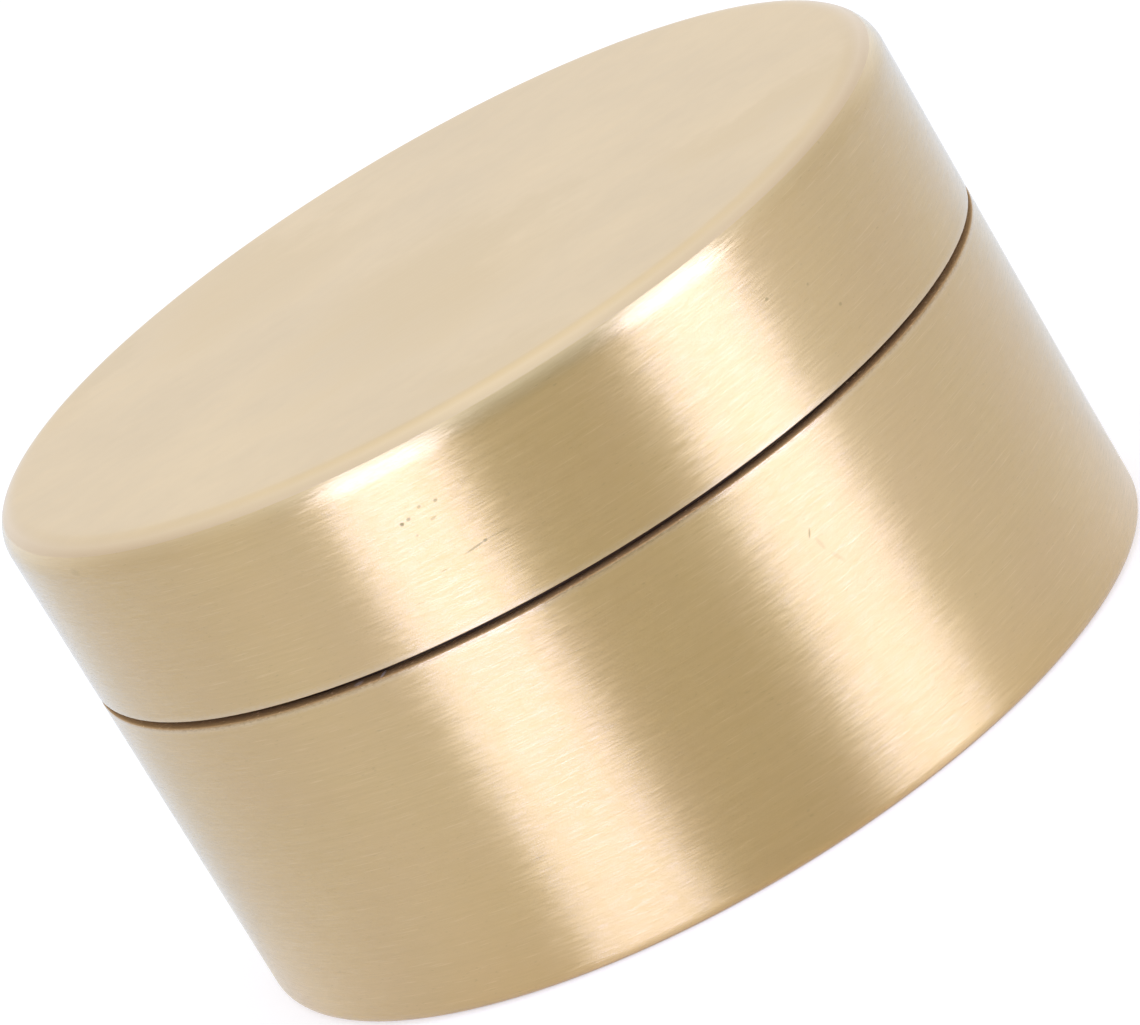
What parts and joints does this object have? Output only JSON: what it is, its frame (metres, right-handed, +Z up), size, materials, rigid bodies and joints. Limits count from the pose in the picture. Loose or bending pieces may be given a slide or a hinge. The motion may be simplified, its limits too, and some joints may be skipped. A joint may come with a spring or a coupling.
{
  "type": "round lidded box",
  "caption": "Round brushed brass jewelry box: a lift-off lid slips over an inner neck and seats on a gasket, with a velvet lining inside.",
  "frame": {"origin": "centre of the flat underside, where the axis of the box meets the surface it stands on", "axes": "+Z up along the axis of the box, from the underside to the crown of the lid; X and Y are free, because the box is round"},
  "size_m": [0.062, 0.062, 0.035],
  "materials": {
    "brushed_brass": "pale brass, brushed round the walls and across the crown, satin",
    "plain_brass": "plain turned brass, satin",
    "silicone": "dark brown silicone, matt",
    "velvet": "short-pile wine velvet",
    "board": "grey board"
  },
  "bodies": {
    "base": {"base_cup": "brushed_brass", "neck_sleeve": "plain_brass", "wall_liner": "velvet", "pad_board": "board", "base_pad": "velvet"},
    "gasket": {"lid_gasket": "silicone"},
    "lid": {"lid_cap": "brushed_brass", "lid_liner": "velvet"}
  },
  "joints": [
    {"name": "lid_lift", "type": "slide", "parent": "base", "child": "gasket", "axis": [0, 0, 1], "range_m": [0, 0.045]},
    {"name": "lid_turn", "type": "hinge", "parent": "gasket", "child": "lid", "pos_m": [0, 0, 0.0225], "axis": [0, 0, 1], "continuous": true}
  ]
}
